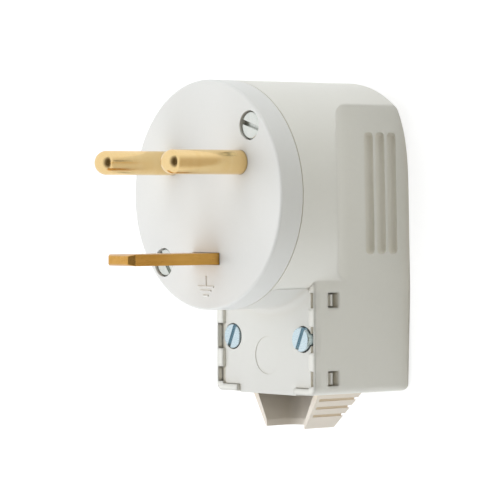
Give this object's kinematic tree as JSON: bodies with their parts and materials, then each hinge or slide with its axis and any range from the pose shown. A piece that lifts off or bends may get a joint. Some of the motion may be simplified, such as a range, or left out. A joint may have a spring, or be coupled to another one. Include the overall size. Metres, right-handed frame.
{
  "type": "cooker plug",
  "caption": "Heavy-duty plug with round live pins, a flat earth blade, a domed round head with finger grips and a clamped side cable outlet.",
  "frame": {"origin": "on the axis of the round head, in the plane of the flat back that the plug lies on", "axes": "+Z along the pins, out of the pin face; the cable leaves towards -Y; +X towards the right-hand pin"},
  "size_m": [0.056, 0.0857, 0.0779],
  "materials": {
    "housing_plastic": "satin moulded, warm off-white",
    "base_plastic": "satin moulded, off-white",
    "cover_plastic": "satin moulded, off-white",
    "guide_plastic": "satin moulded, off-white",
    "clamp_plastic": "moulded, off-white",
    "pin_brass": "turned bright brass",
    "blade_brass": "blanked brass strip",
    "terminal_steel": "zinc plated",
    "nickel_steel": "nickel plated",
    "zinc_steel": "bluish zinc plated"
  },
  "bodies": {
    "root": {"rear_cover": "housing_plastic", "pin_base": "base_plastic", "outlet_cover": "cover_plastic", "cable_guide": "guide_plastic", "cord_clamp_bar": "clamp_plastic", "line_pin_left": "pin_brass", "line_pin_right": "pin_brass", "earth_blade": "blade_brass", "wire_clamp_left": "terminal_steel", "wire_clamp_right": "terminal_steel", "wire_clamp_earth": "terminal_steel", "terminal_screw_left": "terminal_steel", "terminal_screw_right": "terminal_steel", "terminal_screw_earth": "terminal_steel", "face_screw_upper": "nickel_steel", "face_screw_lower": "nickel_steel", "face_nut_upper": "zinc_steel", "face_nut_lower": "zinc_steel", "clamp_screw_left": "zinc_steel", "clamp_screw_right": "zinc_steel", "clamp_nut_left": "zinc_steel", "clamp_nut_right": "zinc_steel"}
  },
  "joints": []
}
